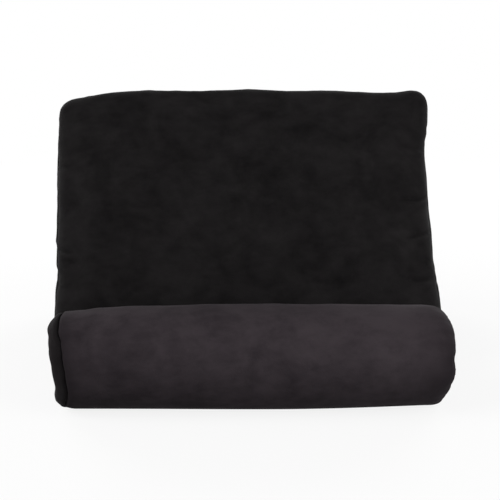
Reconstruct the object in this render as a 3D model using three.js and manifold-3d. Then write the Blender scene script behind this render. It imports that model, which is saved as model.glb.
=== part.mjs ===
// A tablet cushion stand: a foam wedge in a sewn cloth cover, with a foam roll sewn along the foot of
// its sloping face. The cover opens by a zip low on its back.
// Millimetres, +Z up, +X to the right, the roll towards -Y. The floor is at Z = 0.

import * as THREE from "three";
import { mergeVertices } from "three/addons/utils/BufferGeometryUtils.js";
import Module from "manifold-3d";

const wasm = await Module();
wasm.setup();

// Wedge, measured on the cover. Slopes are degrees above the floor.
const wedgeWidth = 290; // from side seam to side seam, before the sides bulge
const wedgeDepth = 212; // along the floor, before the corners are rounded
const faceSlope = 61;
const backSlope = 69;
const ridgeRadius = 16;
const rearRadius = 18;
const frontRadius = 14;
const sideEdgeRadius = 14;
const faceCrown = 4;
const backCrown = 7;
const sideCrown = 5;
const sideDrawIn = 3; // how far each side pulls in between its corners
const ridgeDroop = 3; // how far the ridge falls from its middle to its ends

// Roll along the foot of the face
const rollDiameter = 71;
const rollLength = 263; // from end seam to end seam, before the ends bulge
const rollEdgeRadius = 10;
const rollEndCrown = 8;
const rollBarrel = 4; // how much thinner the roll is at its ends
const rollFlat = 1.5; // how far the roll is pressed flat by the floor

// Cloth and seams
const clothThickness = 1.2;
const fitGap = 0.3; // between pieces that touch
const seamAllowance = 12; // width of the doubled cloth that sews the roll to the face

// Zip set between the back and the base
const zipEndMargin = 34; // from the wedge's side to the end of the zip opening
const zipWindow = 10; // between the two folded edges of the cover
const zipRise = 2; // flat cover past each tape, below the back's crown and above the rear rounding
const tapeWidth = 13;
const tapeThickness = 0.6;
const tapeTail = 7; // tape past each end of the opening
const coilWidth = 2.4;
const coilHeight = 1.8;
const coilSplit = 1.4; // between the two coils
const stopLength = 3;

// Zip slider and its pull tab
const sliderLength = 12;
const sliderPlate = 1;
const sliderFlange = 0.8;
const sliderNeckLength = 3;
const neckGap = 0.3; // from the neck to each coil
const bridgeWidth = 2;
const bridgeThickness = 1;
const bridgeLength = 7;
const pivotThickness = 1.2; // pull tab, and the bar that turns in the bridge
const pivotDepth = 1.6;
const tabLength = 25;
const tabWidth = 7;
const tabHoleRadius = 1.4;

// How finely the curved pieces are cut into facets
const domeSteps = 4;
const edgeSteps = 3;
const wedgeLengthSteps = 8;
const rollLengthSteps = 6;
const rollSides = 20;
const frontSteps = 4;
const faceSteps = 8;
const ridgeSteps = 6;
const backSteps = 7;
const rearSteps = 4;
const baseSteps = 5;
const arcSteps = 6;
const mergeDistance = 1e-4;

const radians = THREE.MathUtils.degToRad;
const plane = (y, z) => new THREE.Vector2(y, z);

// Materials

const cloth = (color) => new THREE.MeshStandardMaterial({ color, roughness: 0.95, metalness: 0 });
const wedgeCloth = cloth(0x2a2829);
const rollCloth = cloth(0x383436);
const foam = new THREE.MeshStandardMaterial({ color: 0xd9d4c4, roughness: 1, metalness: 0 });
const tapeCloth = new THREE.MeshStandardMaterial({ color: 0x1a1a1b, roughness: 0.9, metalness: 0 });
const nylon = new THREE.MeshStandardMaterial({ color: 0x151516, roughness: 0.45, metalness: 0 });
const zipMetal = new THREE.MeshStandardMaterial({ color: 0x3c3c40, roughness: 0.35, metalness: 0.9 });

// Closed meshes and booleans

function geometryOf(triangles) {
  const geometry = new THREE.BufferGeometry().setFromPoints(triangles.flat());
  return mergeVertices(geometry, mergeDistance);
}

function solidOf(geometry) {
  const bare = geometry.clone();
  bare.deleteAttribute("normal");
  bare.deleteAttribute("uv");
  const merged = mergeVertices(bare, mergeDistance);
  const vertProperties = new Float32Array(merged.attributes.position.array);
  const triVerts = new Uint32Array(merged.index.array);
  return new wasm.Manifold(new wasm.Mesh({ numProp: 3, vertProperties, triVerts }));
}

function geometryFrom(solid) {
  const { vertProperties, triVerts } = solid.getMesh();
  const geometry = new THREE.BufferGeometry();
  geometry.setAttribute("position", new THREE.BufferAttribute(new Float32Array(vertProperties), 3));
  geometry.setIndex(new THREE.BufferAttribute(new Uint32Array(triVerts), 1));
  return geometry;
}

function join(...geometries) {
  return geometryFrom(geometries.map(solidOf).reduce((whole, piece) => whole.add(piece)));
}

function cut(geometry, ...tools) {
  return geometryFrom(tools.map(solidOf).reduce((whole, tool) => whole.subtract(tool), solidOf(geometry)));
}

function box(x0, x1, y0, y1, z0, z1) {
  const geometry = new THREE.BoxGeometry(x1 - x0, y1 - y0, z1 - z0);
  return geometry.translate((x0 + x1) / 2, (y0 + y1) / 2, (z0 + z1) / 2);
}

// Skins
// A skin is a closed surface of rings: rings[j][i] runs round the section with i and along X with j.
// Its first and last rings are shrunk to the middle of the two ends.

const swell = (share) => Math.sin(Math.PI * share) ** 2;

// Places along X, from the middle of the left end to the middle of the right end. Each end is a dome that
// its seam joins to the rounded edge of the body, and the rounding stops where it is as steep as the dome.
function stationsOf(length, edgeRadius, crown, endReach, bodySteps) {
  const seamTurn = Math.PI / 2 - Math.atan2(2 * crown, endReach - edgeRadius);
  const insetAt = (turn) => edgeRadius * (1 - Math.cos(turn));
  const bodyHalf = length / 2 - edgeRadius * Math.sin(seamTurn);
  const end = [];
  for (let k = 0; k < domeSteps; k++) {
    const shrink = k / domeSteps;
    end.push({ x: length / 2 + crown * (1 - shrink ** 2), inset: insetAt(seamTurn), shrink });
  }
  for (let k = edgeSteps; k > 0; k--) {
    const turn = (seamTurn * k) / edgeSteps;
    end.push({ x: bodyHalf + edgeRadius * Math.sin(turn), inset: insetAt(turn), shrink: 1 });
  }
  const body = [];
  for (let k = 0; k <= bodySteps; k++) {
    body.push({ x: bodyHalf * ((2 * k) / bodySteps - 1), inset: 0, shrink: 1 });
  }
  const left = end.map((station) => ({ ...station, x: -station.x }));
  const stations = [...left, ...body, ...end.toReversed()];
  return { stations, leftSeam: domeSteps, rightSeam: stations.length - 1 - domeSteps };
}

function skinOf(section, stations, place) {
  const rings = stations.map((station) => section.map((sample) => place(sample, station)));
  const count = section.length;
  const normals = rings.map((ring, j) =>
    ring.map((point, i) => {
      if (stations[j].shrink === 0) {
        return new THREE.Vector3(Math.sign(stations[j].x), 0, 0);
      }
      const round = ring[(i + 1) % count].clone().sub(ring[(i + count - 1) % count]);
      const along = rings[j + 1][i].clone().sub(rings[j - 1][i]);
      return along.cross(round).normalize();
    }),
  );
  return { rings, normals, count };
}

const coreDepth = clothThickness + fitGap; // from the outside of the cloth to the foam
const inward = (point, normal, depth) => point.clone().addScaledVector(normal, -depth);

function pushQuad(triangles, a, b, c, d) {
  for (const triangle of [[a, b, c], [a, c, d]]) {
    const [p, q, r] = triangle;
    if (!p.equals(q) && !q.equals(r) && !r.equals(p)) {
      triangles.push(triangle);
    }
  }
}

// The solid inside a skin, at a depth below it
function coreOf(skin, depth) {
  const rings = skin.rings.map((ring, j) => ring.map((point, i) => inward(point, skin.normals[j][i], depth)));
  const triangles = [];
  for (let j = 0; j < rings.length - 1; j++) {
    for (let i = 0; i < skin.count; i++) {
      const next = (i + 1) % skin.count;
      pushQuad(triangles, rings[j][i], rings[j + 1][i], rings[j + 1][next], rings[j][next]);
    }
  }
  return geometryOf(triangles);
}

function pullIn(line, towards, distance) {
  line.forEach((point, k) => {
    const way = towards[k].clone().sub(point);
    point.addScaledVector(way, distance / way.length());
  });
}

// A cloth panel between rings j0 and j1. It goes right round the section, or from sample i0 to i1.
// Each edge that meets another panel is pulled in by half the seam's gap.
function panelOf(skin, j0, j1, i0 = 0, i1 = skin.count) {
  const closedRound = i1 - i0 === skin.count;
  const columns = closedRound ? skin.count : i1 - i0 + 1;
  const layers = [0, clothThickness].map((depth) => {
    const rows = [];
    for (let j = j0; j <= j1; j++) {
      const row = [];
      for (let k = 0; k < columns; k++) {
        const i = (i0 + k) % skin.count;
        row.push(inward(skin.rings[j][i], skin.normals[j][i], depth));
      }
      rows.push(row);
    }
    const last = rows.length - 1;
    if (j0 > 0) {
      pullIn(rows[0], rows[1], fitGap / 2);
    }
    if (j1 < skin.rings.length - 1) {
      pullIn(rows[last], rows[last - 1], fitGap / 2);
    }
    if (!closedRound) {
      const column = (k) => rows.map((row) => row[k]);
      pullIn(column(0), column(1), fitGap / 2);
      pullIn(column(columns - 1), column(columns - 2), fitGap / 2);
    }
    return rows;
  });
  const [outer, inner] = layers;
  const triangles = [];
  const spans = closedRound ? columns : columns - 1;
  for (let j = 0; j < outer.length - 1; j++) {
    for (let k = 0; k < spans; k++) {
      const next = (k + 1) % columns;
      pushQuad(triangles, outer[j][k], outer[j + 1][k], outer[j + 1][next], outer[j][next]);
      pushQuad(triangles, inner[j][k], inner[j][next], inner[j + 1][next], inner[j + 1][k]);
    }
    if (!closedRound) {
      const end = columns - 1;
      pushQuad(triangles, outer[j][0], inner[j][0], inner[j + 1][0], outer[j + 1][0]);
      pushQuad(triangles, outer[j][end], outer[j + 1][end], inner[j + 1][end], inner[j][end]);
    }
  }
  const last = outer.length - 1;
  for (let k = 0; k < spans; k++) {
    const next = (k + 1) % columns;
    if (j0 > 0) {
      pushQuad(triangles, outer[0][k], outer[0][next], inner[0][next], inner[0][k]);
    }
    if (j1 < skin.rings.length - 1) {
      pushQuad(triangles, outer[last][k], inner[last][k], inner[last][next], outer[last][next]);
    }
  }
  return geometryOf(triangles);
}

// Wedge section, in the plane of Y and Z
// It runs from the seam below the face, up the face, over the ridge, down the back and along the base.

const faceTurn = Math.PI / 2 + radians(faceSlope);
const backTurn = Math.PI / 2 - radians(backSlope);
const baseTurn = -Math.PI / 2;
const outwardAt = (turn) => plane(Math.cos(turn), Math.sin(turn));

const apexHeight = wedgeDepth / (1 / Math.tan(radians(faceSlope)) + 1 / Math.tan(radians(backSlope)));
const frontCorner = plane(0, 0);
const rearCorner = plane(wedgeDepth, 0);
const apex = plane(apexHeight / Math.tan(radians(faceSlope)), apexHeight);
const wedgeMiddle = plane((rearCorner.x + apex.x) / 3, apex.y / 3);

function roundingCentre(corner, turnA, turnB, radius) {
  const sum = outwardAt(turnA).add(outwardAt(turnB));
  return corner.clone().addScaledVector(sum, -radius / (1 + Math.cos(turnA - turnB)));
}

const frontCentre = roundingCentre(frontCorner, faceTurn, baseTurn, frontRadius);
const ridgeCentre = roundingCentre(apex, faceTurn, backTurn, ridgeRadius);
const rearCentre = roundingCentre(rearCorner, backTurn, baseTurn, rearRadius);
const onRounding = (centre, radius, turn) => centre.clone().addScaledVector(outwardAt(turn), radius);
const wedgeHeight = ridgeCentre.y + ridgeRadius;

function roundingSamples(centre, radius, turnA, turnB, steps) {
  const samples = [];
  for (let k = 0; k <= steps; k++) {
    const turn = turnA + ((turnB - turnA) * k) / steps;
    samples.push({ point: onRounding(centre, radius, turn), bulge: plane(0, 0), drawIn: 0 });
  }
  return samples;
}

// Samples between two points, without the points themselves
function sideSamples(from, to, turn, crown, steps) {
  const samples = [];
  for (let k = 1; k < steps; k++) {
    const share = k / steps;
    const bulge = outwardAt(turn).multiplyScalar(crown * swell(share));
    samples.push({ point: from.clone().lerp(to, share), bulge, drawIn: sideDrawIn * swell(share) });
  }
  return samples;
}

const faceFoot = onRounding(frontCentre, frontRadius, faceTurn);
const faceTop = onRounding(ridgeCentre, ridgeRadius, faceTurn);
const backTop = onRounding(ridgeCentre, ridgeRadius, backTurn);
const backFoot = onRounding(rearCentre, rearRadius, backTurn);
const baseRear = onRounding(rearCentre, rearRadius, baseTurn);
const baseFront = onRounding(frontCentre, frontRadius, baseTurn);

const tapeReach = coilSplit / 2 + tapeWidth; // from the zip's middle to a tape's outer edge
const upTheBack = backTop.clone().sub(backFoot).normalize();
const zipMiddle = backFoot.clone().addScaledVector(upTheBack, zipRise + tapeReach);
const zipTop = zipMiddle.clone().addScaledVector(upTheBack, tapeReach + zipRise);
const flatSample = (point) => ({ point, bulge: plane(0, 0), drawIn: 0 });

const frontSeamTurn = (faceTurn + baseTurn + 2 * Math.PI) / 2;
const frontBaseTurn = baseTurn + 2 * Math.PI;
const frontUpper = roundingSamples(frontCentre, frontRadius, frontSeamTurn, faceTurn, frontSteps / 2);
const face = sideSamples(faceFoot, faceTop, faceTurn, faceCrown, faceSteps);
const ridge = roundingSamples(ridgeCentre, ridgeRadius, faceTurn, backTurn, ridgeSteps);
const back = sideSamples(backTop, zipTop, backTurn, backCrown, backSteps);
const zipFlat = [flatSample(zipTop), flatSample(zipMiddle)];
const rear = roundingSamples(rearCentre, rearRadius, backTurn, baseTurn, rearSteps);
const base = sideSamples(baseRear, baseFront, baseTurn, 0, baseSteps);
const frontLower = roundingSamples(frontCentre, frontRadius, frontBaseTurn, frontSeamTurn, frontSteps / 2);
const overFace = [...frontUpper, ...face, ...ridge];
const wedgeSection = [...overFace, ...back, ...zipFlat, ...rear, ...base, ...frontLower.slice(0, -1)];
const ridgeSeam = frontUpper.length + face.length + ridgeSteps / 2;
const zipSeam = overFace.length + back.length + 1;

function shrinkTowards(point, middle, inset, shrink) {
  const spoke = point.clone().sub(middle);
  const length = spoke.length();
  return middle.clone().addScaledVector(spoke, (shrink * (length - inset)) / length);
}

function placeOnWedge(sample, station) {
  const share = Math.min(Math.abs(station.x) / (wedgeWidth / 2), 1);
  const full = sample.point.clone().addScaledVector(sample.bulge, 1 - share ** 2);
  const { x: y, y: z } = shrinkTowards(full, wedgeMiddle, station.inset, station.shrink);
  const drawIn = sample.drawIn * share * station.shrink ** 2;
  const droop = ridgeDroop * share ** 2 * (z / wedgeHeight) ** 3;
  return new THREE.Vector3(station.x - Math.sign(station.x) * drawIn, y, z - droop);
}

const wedgeReach = wedgeMiddle.distanceTo(frontCorner.clone().lerp(apex, 0.5)); // to the middle of the face
const wedgeBody = stationsOf(wedgeWidth, sideEdgeRadius, sideCrown, wedgeReach, wedgeLengthSteps);
const wedgeSkin = skinOf(wedgeSection, wedgeBody.stations, placeOnWedge);

// Roll section, round an axis that lies along X
// The roll is set so that its seam just fits between it and the crowned face.

const rollRadius = rollDiameter / 2;
const rollHeight = rollRadius - rollFlat;
const seamThickness = 2 * clothThickness;
const rollClearance = seamThickness + 2 * fitGap;
const crownedFace = overFace.map((sample) => sample.point.clone().add(sample.bulge));
const rollReach = rollRadius + rollClearance;
const rollSeats = crownedFace
  .filter((point) => Math.abs(point.y - rollHeight) < rollReach)
  .map((point) => ({ point, y: point.x - Math.sqrt(rollReach ** 2 - (point.y - rollHeight) ** 2) }));
const rollSeat = rollSeats.reduce((nearest, seat) => (seat.y < nearest.y ? seat : nearest));
const rollAxis = plane(rollSeat.y, rollHeight);

const rollSection = [];
for (let k = 0; k < rollSides; k++) {
  const turn = (2 * Math.PI * k) / rollSides;
  const z = rollHeight + rollRadius * Math.sin(turn);
  rollSection.push(plane(rollAxis.x - rollRadius * Math.cos(turn), Math.max(z, 0)));
}

function placeOnRoll(point, station) {
  const share = Math.min(Math.abs(station.x) / (rollLength / 2), 1);
  const footprint = plane(rollAxis.x, 0);
  const thinned = footprint.clone().lerp(point, 1 - (rollBarrel / rollDiameter) * share ** 2);
  const { x: y, y: z } = shrinkTowards(thinned, rollAxis, station.inset, station.shrink);
  return new THREE.Vector3(station.x, y, z);
}

const rollBody = stationsOf(rollLength, rollEdgeRadius, rollEndCrown, rollRadius, rollLengthSteps);
const rollSkin = skinOf(rollSection, rollBody.stations, placeOnRoll);

// Zip, in a frame of its own: x along the zip, y up the back, z outwards from the cover

const zipHalf = wedgeWidth / 2 - zipEndMargin;
const tapeTop = -coreDepth;
const tapeBottom = tapeTop - tapeThickness;
const coilBottom = tapeTop + fitGap;
const coilTop = coilBottom + coilHeight;
const coilReach = coilSplit / 2 + coilWidth;
const coilHalf = zipHalf - stopLength - 2 * fitGap;
const stopReach = coilReach + fitGap;
const stopMiddle = zipHalf - fitGap - stopLength / 2;
const plateBottom = coilTop + fitGap;
const plateTop = plateBottom + sliderPlate;
const innerPlateTop = tapeBottom - fitGap;
const innerPlateBottom = innerPlateTop - sliderPlate;
const sliderHalfWidth = coilReach + fitGap + sliderFlange;
const tapeHalf = zipHalf + tapeTail;

const zip = new THREE.Group();
const upAxis = new THREE.Vector3(0, upTheBack.x, upTheBack.y);
const outAxis = new THREE.Vector3(0, outwardAt(backTurn).x, outwardAt(backTurn).y);
const zipBasis = new THREE.Matrix4().makeBasis(new THREE.Vector3(-1, 0, 0), upAxis, outAxis);
zip.quaternion.setFromRotationMatrix(zipBasis);
zip.position.set(0, zipMiddle.x, zipMiddle.y);
zip.updateMatrix();
const besideZip = (geometry) => geometry.applyMatrix4(zip.matrix);

// A strip on the upper or the lower side of the zip
function zipStrip(side, halfLength, near, far, bottom, top) {
  const [y0, y1] = side > 0 ? [near, far] : [-far, -near];
  return box(-halfLength, halfLength, y0, y1, bottom, top);
}

function sliderOutline(halfLength, halfWidth) {
  const tail = halfWidth - sliderFlange;
  const corner = halfWidth / 3;
  const outline = new THREE.Shape();
  outline.moveTo(-halfLength, -tail + corner);
  outline.quadraticCurveTo(-halfLength, -tail, -halfLength + corner, -tail);
  outline.lineTo(0, -halfWidth);
  outline.lineTo(halfLength - corner, -halfWidth);
  outline.quadraticCurveTo(halfLength, -halfWidth, halfLength, -halfWidth + corner);
  outline.lineTo(halfLength, halfWidth - corner);
  outline.quadraticCurveTo(halfLength, halfWidth, halfLength - corner, halfWidth);
  outline.lineTo(0, halfWidth);
  outline.lineTo(-halfLength + corner, tail);
  outline.quadraticCurveTo(-halfLength, tail, -halfLength, tail - corner);
  return outline;
}

function upright(shape, bottom, top) {
  const options = { depth: top - bottom, bevelEnabled: false, curveSegments: arcSteps };
  return new THREE.ExtrudeGeometry(shape, options).translate(0, 0, bottom);
}

// The bar of the pull tab turns about this height, clear of the plate below it and the bridge above
const pivotReach = Math.hypot(pivotDepth / 2, pivotThickness / 2);
const pivotHeight = plateTop + fitGap + pivotReach;
const bridgeBottom = pivotHeight + pivotReach + fitGap;
const bridgeTop = bridgeBottom + bridgeThickness;

function sliderGeometry() {
  const half = sliderLength / 2;
  const outline = sliderOutline(half, sliderHalfWidth);
  const outerPlate = upright(outline, plateBottom, plateTop);
  const innerPlate = upright(outline, innerPlateBottom, innerPlateTop);
  const flanges = [1, -1].map((side) => {
    const inside = sliderHalfWidth - sliderFlange;
    const flange = zipStrip(side, half / 3, inside, sliderHalfWidth, coilBottom, plateTop);
    return flange.translate(half / 2, 0, 0);
  });
  const neckHalf = coilSplit / 2 - neckGap;
  const neckEnd = half - fitGap;
  const neck = box(neckEnd - sliderNeckLength, neckEnd, -neckHalf, neckHalf, innerPlateBottom, plateTop);
  const bridgeHalf = bridgeLength / 2;
  const tunnelHalf = bridgeHalf - bridgeThickness;
  const block = box(-bridgeHalf, bridgeHalf, -bridgeWidth / 2, bridgeWidth / 2, plateBottom, bridgeTop);
  const tunnel = box(-tunnelHalf, tunnelHalf, -bridgeWidth, bridgeWidth, plateTop, bridgeBottom);
  return join(outerPlate, innerPlate, ...flanges, neck, cut(block, tunnel));
}

// The pull tab lies flat, pointing away from the closed end, with its pivot bar on the origin
function tabGeometry() {
  const half = tabWidth / 2;
  const eyeHalf = bridgeWidth / 2 + fitGap;
  const eyeEnd = Math.hypot(bridgeLength / 2, bridgeTop - pivotHeight) + fitGap;
  const outline = new THREE.Shape();
  outline.moveTo(pivotDepth / 2, -half);
  outline.lineTo(pivotDepth / 2, half);
  outline.lineTo(-tabLength + half, half);
  outline.absarc(-tabLength + half, 0, half, Math.PI / 2, (3 * Math.PI) / 2);
  const eye = new THREE.Path();
  eye.moveTo(-pivotDepth / 2, -eyeHalf);
  eye.lineTo(-eyeEnd, -eyeHalf);
  eye.lineTo(-eyeEnd, eyeHalf);
  eye.lineTo(-pivotDepth / 2, eyeHalf);
  const hole = new THREE.Path();
  hole.absarc(-tabLength + half, 0, tabHoleRadius, 0, 2 * Math.PI, true);
  outline.holes.push(eye, hole);
  return upright(outline, -pivotThickness / 2, pivotThickness / 2);
}

// Cuts for the zip: its opening in the cover, and a channel in the foam for the tapes and the slider

const cutReach = 2 * coreDepth; // how far the cutting boxes stand proud of the cover
const zipOpening = box(-zipHalf, zipHalf, -zipWindow / 2, zipWindow / 2, -cutReach, cutReach);
const channelFloor = tapeBottom - fitGap;
const channelReach = tapeReach + fitGap;
const channelHalf = tapeHalf + fitGap;
const tapeChannel = box(-channelHalf, channelHalf, -channelReach, channelReach, channelFloor, cutReach);
const sliderFloor = innerPlateBottom - fitGap;
const sliderReach = sliderHalfWidth + fitGap;
const sliderChannel = box(-zipHalf, zipHalf, -sliderReach, sliderReach, sliderFloor, cutReach);
[zipOpening, tapeChannel, sliderChannel].forEach(besideZip);

// Assembly

const stand = new THREE.Group();

function add(parent, name, geometry, material) {
  const mesh = new THREE.Mesh(geometry, material);
  mesh.name = name;
  parent.add(mesh);
  return mesh;
}

const lastRing = wedgeSkin.rings.length - 1;
const wedgePanel = (i0, i1) => panelOf(wedgeSkin, wedgeBody.leftSeam, wedgeBody.rightSeam, i0, i1);

add(stand, "wedge_foam", cut(coreOf(wedgeSkin, coreDepth), tapeChannel, sliderChannel), foam);
add(stand, "front_panel", wedgePanel(0, ridgeSeam), wedgeCloth);
add(stand, "back_panel", cut(wedgePanel(ridgeSeam, zipSeam), zipOpening), wedgeCloth);
add(stand, "base_panel", cut(wedgePanel(zipSeam, wedgeSkin.count), zipOpening), wedgeCloth);
add(stand, "left_side_panel", panelOf(wedgeSkin, 0, wedgeBody.leftSeam), wedgeCloth);
add(stand, "right_side_panel", panelOf(wedgeSkin, wedgeBody.rightSeam, lastRing), wedgeCloth);

const lastRollRing = rollSkin.rings.length - 1;
add(stand, "roll_foam", coreOf(rollSkin, coreDepth), foam);
add(stand, "roll_sleeve", panelOf(rollSkin, rollBody.leftSeam, rollBody.rightSeam), rollCloth);
add(stand, "roll_left_end", panelOf(rollSkin, 0, rollBody.leftSeam), rollCloth);
add(stand, "roll_right_end", panelOf(rollSkin, rollBody.rightSeam, lastRollRing), rollCloth);

const seamLine = rollAxis.clone().lerp(rollSeat.point, (rollRadius + rollClearance / 2) / rollReach);
const seamLength = rollLength - 2 * rollEdgeRadius;
const seamStrip = new THREE.BoxGeometry(seamLength, seamAllowance, seamThickness);
const seam = add(stand, "roll_seam", seamStrip, rollCloth);
const seamTurn = Math.atan2(rollSeat.point.y - rollAxis.y, rollSeat.point.x - rollAxis.x);
seam.position.set(0, seamLine.x, seamLine.y);
seam.rotation.x = seamTurn - Math.PI / 2;

stand.add(zip);
for (const [where, side] of [["upper", 1], ["lower", -1]]) {
  const tape = zipStrip(side, tapeHalf, coilSplit / 2, tapeReach, tapeBottom, tapeTop);
  const coil = zipStrip(side, coilHalf, coilSplit / 2, coilReach, coilBottom, coilTop);
  add(zip, `zip_${where}_tape`, tape, tapeCloth);
  add(zip, `zip_${where}_coil`, coil, nylon);
  const stop = zipStrip(side, stopLength / 2, fitGap / 2, stopReach, coilBottom, coilTop);
  add(zip, `zip_${where}_top_stop`, stop.translate(stopMiddle, 0, 0), zipMetal);
}
const bottomStop = box(-stopLength / 2, stopLength / 2, -stopReach, stopReach, coilBottom, coilTop);
add(zip, "zip_bottom_stop", bottomStop.translate(-stopMiddle, 0, 0), zipMetal);

// Drawn with the zip shut: the slider stands at the end of the coils
const slider = new THREE.Group();
slider.position.x = coilHalf - sliderLength / 2;
zip.add(slider);
add(slider, "zip_slider", sliderGeometry(), zipMetal);
const pull = add(slider, "zip_pull_tab", tabGeometry(), zipMetal);
pull.position.z = pivotHeight;

// The floor's middle is the origin
const rearmost = rearCentre.x + rearRadius;
const foremost = rollAxis.x - rollRadius;
stand.position.y = -(rearmost + foremost) / 2;

export default stand;
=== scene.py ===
import math

import bmesh
import bpy
from mathutils import Matrix, Vector, bvhtree, kdtree, noise


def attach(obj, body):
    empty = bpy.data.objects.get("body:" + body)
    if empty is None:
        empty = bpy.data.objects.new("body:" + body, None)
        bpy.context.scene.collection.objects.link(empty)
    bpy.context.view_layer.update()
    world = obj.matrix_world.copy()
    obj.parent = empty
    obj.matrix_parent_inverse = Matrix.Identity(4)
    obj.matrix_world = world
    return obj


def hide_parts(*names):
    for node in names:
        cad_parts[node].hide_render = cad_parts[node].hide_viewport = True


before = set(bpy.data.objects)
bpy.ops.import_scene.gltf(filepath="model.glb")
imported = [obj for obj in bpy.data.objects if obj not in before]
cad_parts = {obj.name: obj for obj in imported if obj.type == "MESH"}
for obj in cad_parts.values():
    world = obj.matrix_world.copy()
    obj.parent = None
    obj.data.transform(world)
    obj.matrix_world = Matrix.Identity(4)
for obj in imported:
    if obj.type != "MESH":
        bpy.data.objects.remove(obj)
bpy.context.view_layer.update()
scene = bpy.context.scene
scene.view_settings.view_transform = "Standard"
print("frame loaded:", len(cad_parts), "nodes")


# camera at the photograph's angle, in metres and degrees
cameraSettings = {
    "place": (-0.0190, -0.6725, 0.2550),
    "pitch": 14.2,
    "yaw": 1.8,
    "lens": 64.15,
    "sensor": 36,
    "nearest": 0.02,
}


def placeCamera():
    s = cameraSettings
    data = bpy.data.cameras.new("photoCamera")
    data.lens = s["lens"]
    data.sensor_width = s["sensor"]
    data.clip_start = s["nearest"]
    camera = bpy.data.objects.new("photoCamera", data)
    camera.location = s["place"]
    turn = (90 - s["pitch"], 0, -s["yaw"])
    camera.rotation_euler = [math.radians(angle) for angle in turn]
    scene.collection.objects.link(camera)
    scene.camera = camera


placeCamera()


class Sock:
    # one node socket, so that shader maths reads as plain sums
    def __init__(self, finish, socket):
        self.finish = finish
        self.socket = socket

    def sum(self, operation, first, second):
        return self.finish.node("ShaderNodeMath", {"operation": operation}, {0: first, 1: second})

    def __add__(self, other):
        return self.sum("ADD", self, other)

    def __radd__(self, other):
        return self.sum("ADD", other, self)

    def __mul__(self, other):
        return self.sum("MULTIPLY", self, other)

    def __rmul__(self, other):
        return self.sum("MULTIPLY", other, self)


class Finish:
    # the nodes of one material, or of the world
    def __init__(self, name, world=False):
        self.made = (bpy.data.worlds if world else bpy.data.materials).new(name)
        self.made.use_nodes = True
        self.tree = self.made.node_tree
        self.shader = self.tree.nodes["Background" if world else "Principled BSDF"]

    def feed(self, socket, value):
        if isinstance(value, Sock):
            self.tree.links.new(value.socket, socket)
        else:
            socket.default_value = value

    def node(self, kind, settings=None, sockets=None, out=0):
        made = self.tree.nodes.new(kind)
        for key, value in (settings or {}).items():
            setattr(made, key, value)
        for key, value in (sockets or {}).items():
            self.feed(made.inputs[key], value)
        return Sock(self, made.outputs[out])

    def output(self, sock, key):
        # another output of the same node
        return Sock(self, sock.socket.node.outputs[key])

    def set(self, **sockets):
        for key, value in sockets.items():
            self.feed(self.shader.inputs[key.replace("_", " ")], value)

    def coords(self):
        return self.node("ShaderNodeTexCoord", out=3)

    def mapped(self, scale, turn=(0, 0, 0)):
        return self.node("ShaderNodeMapping", {}, {"Vector": self.coords(), "Rotation": turn, "Scale": scale})

    def noise(self, where, scale, detail=2.0, roughness=0.5, distortion=0.0):
        return self.node("ShaderNodeTexNoise", {}, {
            "Vector": where, "Scale": scale, "Detail": detail,
            "Roughness": roughness, "Distortion": distortion})

    def wave(self, where, direction, scale):
        settings = {"bands_direction": direction}
        return self.node("ShaderNodeTexWave", settings, {"Vector": where, "Scale": scale})

    def span(self, value, low, high, start=0.0, end=1.0):
        return self.node("ShaderNodeMapRange", {"clamp": True}, {
            0: value, 1: low, 2: high, 3: start, 4: end})

    def blendColour(self, share, first, second):
        return self.node("ShaderNodeMix", {"data_type": "RGBA"}, {0: share, 6: first, 7: second}, out=2)

    def bump(self, height, strength, distance):
        return self.node("ShaderNodeBump", {}, {
            "Height": height, "Strength": strength, "Distance": distance})

    def sightOf(self, light):
        # 1 where the camera looks, straight or by way of metal or glass
        seen = light
        for name in ("Is Glossy Ray", "Is Transmission Ray"):
            ray = self.output(light, name)
            seen = self.node("ShaderNodeMath", {"operation": "MAXIMUM"}, {0: seen, 1: ray})
        return seen


# the floor and the light round it
studioSettings = {
    "floorSize": 6.0,
    "floorColour": (0.93, 0.93, 0.93, 1),
    "fade": (0.45, 1.1),     # beyond this the floor is plain white
    "nearGlow": 0.85,        # share of white close to the object, the rest takes its shadow
    "floorBounce": (0.32, 0.32, 0.32, 1),
    "worldLight": 0.14,
    "aim": (0, 0, 0.08),     # where the lamps point
    "lamps": {
        "left": {"place": (-1.30, -0.50, 0.85), "size": 1.0, "power": 18.0},
        "right": {"place": (1.20, -0.75, 0.65), "size": 1.0, "power": 12.5},
        "lowRight": {"place": (0.60, -0.75, 0.14), "size": 0.4, "power": 2.2},
        "rearLeft": {"place": (-1.05, 1.30, 0.55), "size": 1.0, "power": 21.0},
        "rearRight": {"place": (1.05, 1.30, 0.55), "size": 1.0, "power": 21.0},
    },
}


def makeFloor():
    s = studioSettings
    bm = bmesh.new()
    bmesh.ops.create_grid(bm, x_segments=1, y_segments=1, size=s["floorSize"] / 2)
    finish = Finish("paleFloor")
    across = finish.node("ShaderNodeSeparateXYZ", {}, {0: finish.coords()})
    along = finish.output(across, 1)
    away = finish.node("ShaderNodeMath", {"operation": "SQRT"}, {0: across * across + along * along})
    light = finish.node("ShaderNodeLightPath")
    far = finish.span(away, *s["fade"], start=s["nearGlow"]) * finish.sightOf(light)
    white = finish.node("ShaderNodeEmission", {}, {"Color": (1, 1, 1, 1), "Strength": 1.0})
    shown = finish.blendColour(light, s["floorBounce"], s["floorColour"])
    finish.set(Base_Color=shown, Roughness=0.9, Specular_IOR_Level=0.0)
    mixed = finish.node("ShaderNodeMixShader", {}, {
        0: far, 1: Sock(finish, finish.shader.outputs[0]), 2: white})
    finish.feed(finish.tree.nodes["Material Output"].inputs["Surface"], mixed)
    floor = pieceFrom(bm, "floor", finish.made)


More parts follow.
